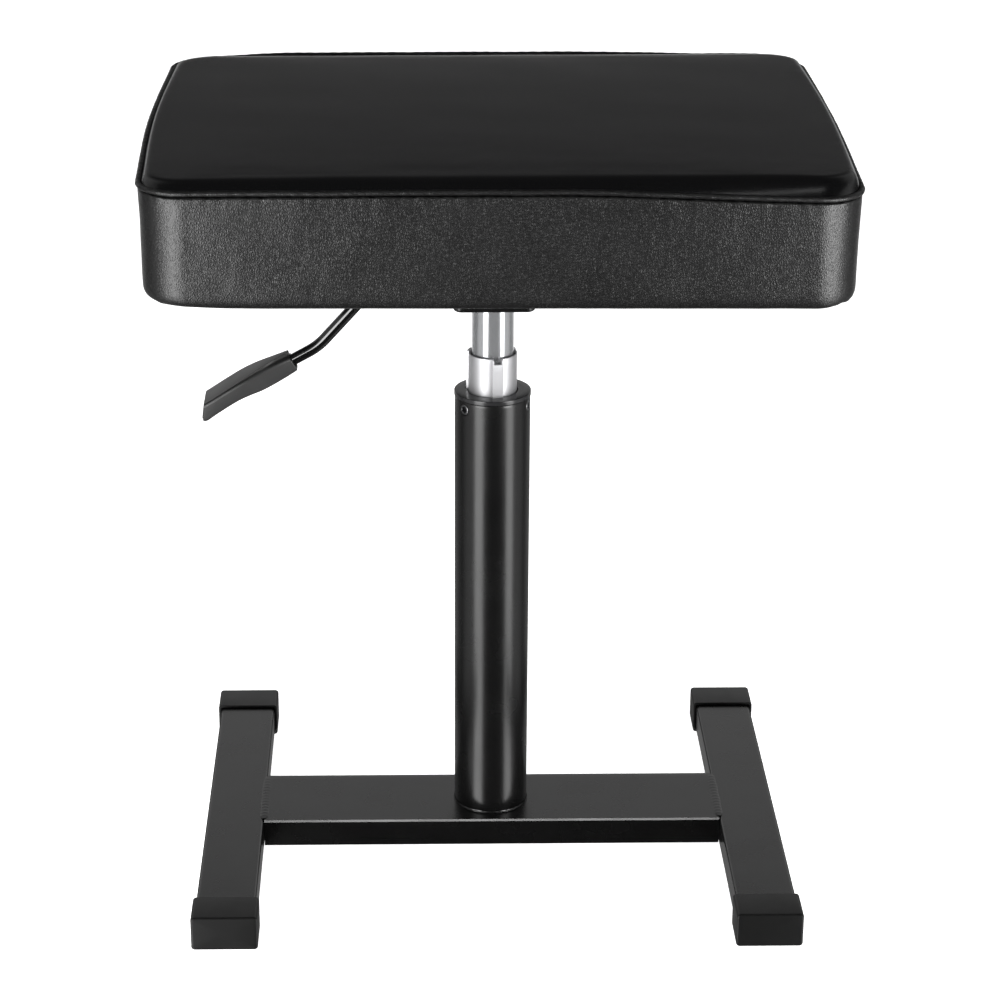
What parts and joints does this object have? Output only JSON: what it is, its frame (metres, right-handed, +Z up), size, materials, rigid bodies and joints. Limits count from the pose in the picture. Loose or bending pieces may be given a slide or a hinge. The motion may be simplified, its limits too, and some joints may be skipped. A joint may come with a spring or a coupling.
{
  "type": "height adjustable keyboard bench",
  "caption": "Rectangular padded bench seat on a gas-sprung telescopic column with a welded H base and a side release lever.",
  "frame": {"origin": "on the floor below the middle of the column", "axes": "+Z up, +X along the bench to the side away from the lever, +Y from the front to the back"},
  "size_m": [0.4368, 0.342, 0.5189],
  "materials": {
    "frame_paint": "satin black powder coat",
    "lever_paint": "gloss black enamel",
    "cap_plastic": "moulded black polyethylene",
    "paddle_plastic": "fine textured black nylon",
    "collar_plastic": "turned black acetal",
    "sleeve_aluminium": "extruded and bright anodised",
    "cylinder_steel": "ground steel with a clear coat",
    "rod_chrome": "hard chromed and polished",
    "plain_steel": "turned steel",
    "zinc_steel": "zinc plated steel",
    "rubber": "black rubber",
    "plywood": "raw birch plywood",
    "foam": "polyurethane foam",
    "top_vinyl": "smooth black coated cloth",
    "side_vinyl": "pebble grained black coated cloth",
    "dust_cloth": "black spun-bonded cloth"
  },
  "bodies": {
    "base": {"foot_tube_left": "frame_paint", "foot_tube_right": "frame_paint", "foot_weld_left": "frame_paint", "foot_weld_right": "frame_paint", "crossbar": "frame_paint", "end_cap_front_left": "cap_plastic", "end_cap_back_left": "cap_plastic", "end_cap_front_right": "cap_plastic", "end_cap_back_right": "cap_plastic", "column_tube": "frame_paint", "column_weld": "frame_paint", "guide_collar": "collar_plastic", "collar_screw_1": "zinc_steel", "collar_screw_2": "zinc_steel", "collar_screw_3": "zinc_steel", "column_floor": "plain_steel", "rod_washer": "zinc_steel", "rubber_buffer": "rubber", "retaining_clip": "zinc_steel", "piston_rod": "rod_chrome", "piston": "plain_steel"},
    "seat": {"keyed_sleeve": "sleeve_aluminium", "gas_cylinder": "cylinder_steel", "rod_guide": "collar_plastic", "valve_body": "plain_steel", "release_housing": "frame_paint", "taper_socket": "plain_steel", "seat_plate": "frame_paint", "lever_pivot_pin": "zinc_steel", "seat_bolt_1": "zinc_steel", "seat_bolt_2": "zinc_steel", "seat_bolt_3": "zinc_steel", "seat_bolt_4": "zinc_steel", "tee_nut_1": "zinc_steel", "tee_nut_2": "zinc_steel", "tee_nut_3": "zinc_steel", "tee_nut_4": "zinc_steel", "seat_board": "plywood", "seat_foam": "foam", "cover_top": "top_vinyl", "cover_band": "side_vinyl", "cover_piping": "side_vinyl", "dust_cover": "dust_cloth"},
    "lever": {"lever_rod": "lever_paint", "lever_rocker": "collar_plastic", "lever_paddle": "paddle_plastic"},
    "valve": {"valve_pin": "zinc_steel"}
  },
  "joints": [
    {"name": "height_slide", "type": "slide", "parent": "base", "child": "seat", "axis": [0, 0, 1], "range_m": [-0.02, 0.1]},
    {"name": "lever_pivot", "type": "hinge", "parent": "seat", "child": "lever", "pos_m": [-0.018, 0, 0.43185], "axis": [0, 1, 0], "range_deg": [0, 8.5], "stiffness_Nm_per_rad": 2},
    {"name": "valve_press", "type": "slide", "parent": "seat", "child": "valve", "axis": [0, 0, -1], "range_m": [0, 0.003]}
  ],
  "couplings": [
    {"joint": "valve_press", "follows": "lever_pivot", "m_per_rad": 0.018}
  ]
}
